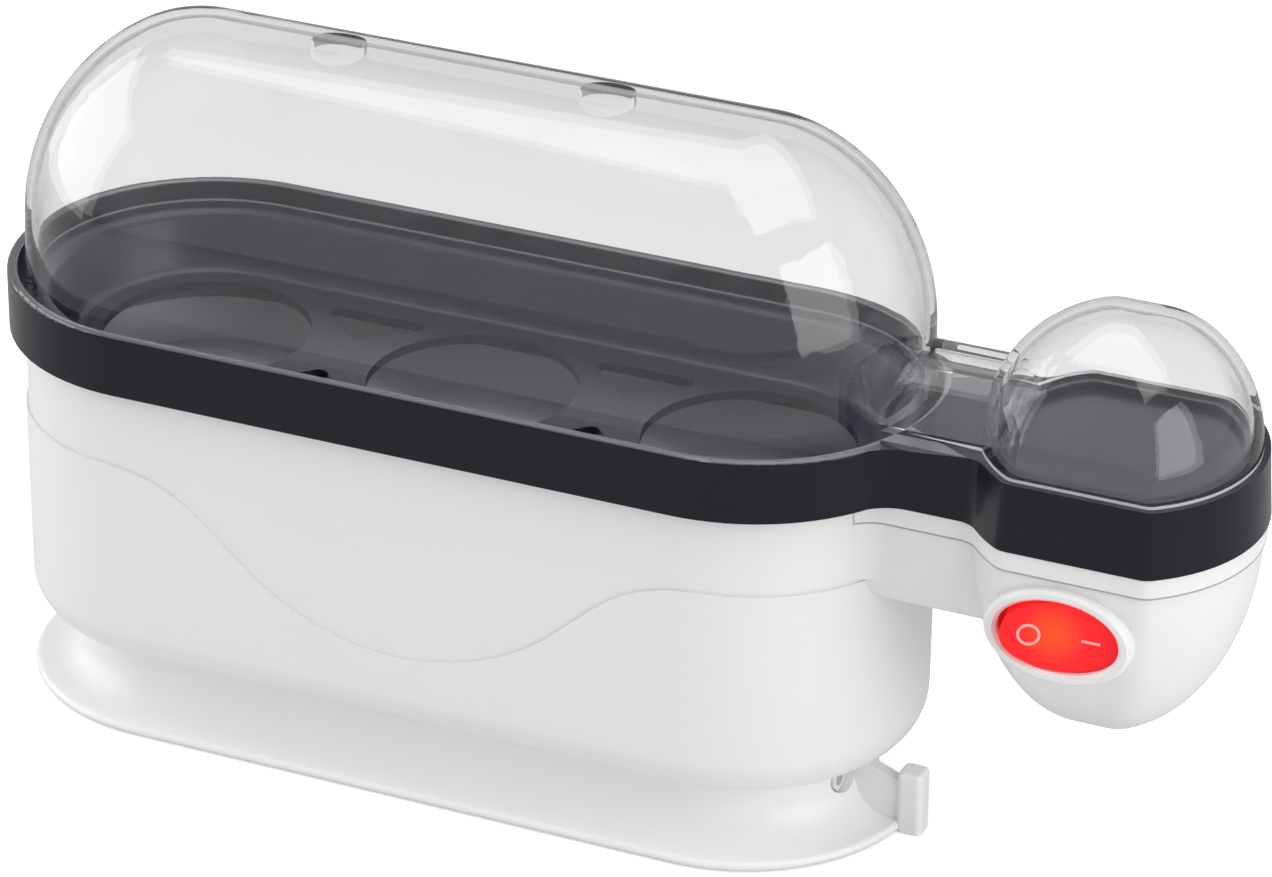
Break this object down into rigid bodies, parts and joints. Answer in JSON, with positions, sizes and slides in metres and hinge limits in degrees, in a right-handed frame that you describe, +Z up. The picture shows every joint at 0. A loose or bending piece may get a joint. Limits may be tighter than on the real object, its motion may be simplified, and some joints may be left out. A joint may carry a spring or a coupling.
{
  "type": "egg cooker",
  "caption": "Electric egg cooker with a long white housing, hollow side handle with lit rocker switch, lift-out black egg tray and clear domed lid with steam vents.",
  "frame": {"origin": "centre of the foot on the standing surface, under the middle egg", "axes": "+X along the row of eggs towards the handle, +Y to the back, away from the switch, +Z up"},
  "size_m": [0.248, 0.075, 0.136],
  "materials": {
    "white_plastic": "satin off-white moulding",
    "black_plastic": "satin charcoal moulding",
    "clear_plastic": "clear polished moulding",
    "grey_plate": "grey coated sheet",
    "silicone": "pale silicone",
    "steel": "plain steel",
    "brass": "plain brass",
    "dark_plastic": "dark moulding",
    "lead_sleeve": "woven sleeve",
    "white_rubber": "white rubber",
    "red_lens": "lit red lens",
    "lamp_glass": "neon lamp"
  },
  "bodies": {
    "base": {"housing": "white_plastic", "base_foot": "white_plastic", "handle_cover": "white_plastic", "switch_bezel": "white_plastic", "heating_bowl": "grey_plate", "bowl_seal": "silicone", "heating_element": "steel", "element_terminals": "brass", "element_bracket": "steel", "bracket_screws": "steel", "thermostat": "steel", "thermostat_clip": "steel", "thermal_fuse": "silicone", "terminal_block": "dark_plastic", "switch_leads": "lead_sleeve", "element_leads": "lead_sleeve", "cord_bush": "white_rubber", "foot_screws": "steel", "cover_screws": "steel", "switch_cup": "dark_plastic", "switch_terminals": "brass", "contact_spring": "brass"},
    "tray": {"egg_tray": "black_plastic"},
    "lid": {"lid": "clear_plastic"},
    "rocker": {"switch_rocker": "red_lens", "switch_lamp": "lamp_glass"}
  },
  "joints": [
    {"name": "tray_lift", "type": "slide", "parent": "base", "child": "tray", "axis": [0, 0, 1], "range_m": [0, 0.12]},
    {"name": "lid_lift", "type": "slide", "parent": "tray", "child": "lid", "axis": [0, 0, 1], "range_m": [0, 0.15]},
    {"name": "rocker_tilt", "type": "hinge", "parent": "base", "child": "rocker", "pos_m": [0.1255, -0.0224, 0.0594], "axis": [0, 0, 1], "range_deg": [-18, 0]}
  ]
}
